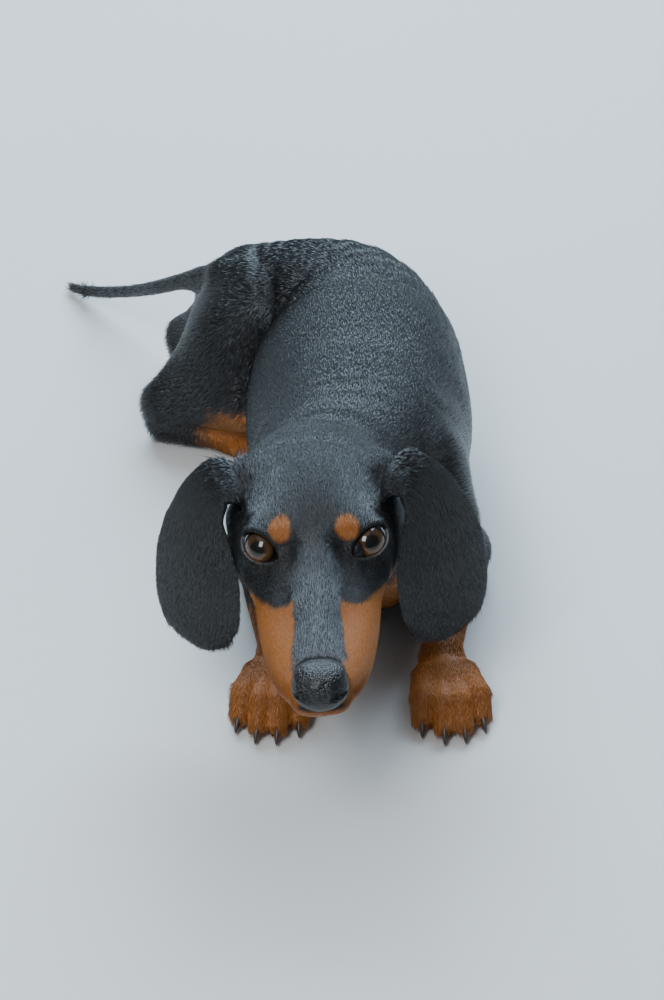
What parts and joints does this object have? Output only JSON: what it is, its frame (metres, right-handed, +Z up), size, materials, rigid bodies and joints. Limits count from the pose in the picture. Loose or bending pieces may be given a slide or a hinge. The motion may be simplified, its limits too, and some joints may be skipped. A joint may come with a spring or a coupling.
{
  "type": "dachshund",
  "caption": "Life-size smooth-coated black-and-tan miniature dachshund, lying on its belly with its head raised and its hindquarters turned to one side.",
  "frame": {"origin": "on the floor, below the middle of the bounding box", "axes": "-Y is the way the dog faces, +X is the dog's left, +Z is up"},
  "size_m": [0.2204, 0.4482, 0.1484],
  "materials": {
    "black_coat": "short smooth black hair, softly glossy",
    "tan_coat": "short smooth tan hair",
    "nose_leather": "moist pebbled black skin",
    "eye": "wet brown eye"
  },
  "bodies": {
    "root": {"head": "black_coat", "lower_jaw": "black_coat", "nose": "nose_leather", "eye_left": "eye", "eye_right": "eye", "ear_left": "black_coat", "ear_right": "black_coat", "neck": "black_coat", "chest": "black_coat", "loin": "black_coat", "rump": "black_coat", "tail_base": "black_coat", "tail_tip": "black_coat", "foreleg_left": "black_coat", "foreleg_right": "black_coat", "forepaw_left": "tan_coat", "forepaw_right": "tan_coat", "hindleg_left": "black_coat", "hindleg_right": "black_coat", "hindpaw_left": "tan_coat", "hindpaw_right": "tan_coat"}
  },
  "joints": []
}
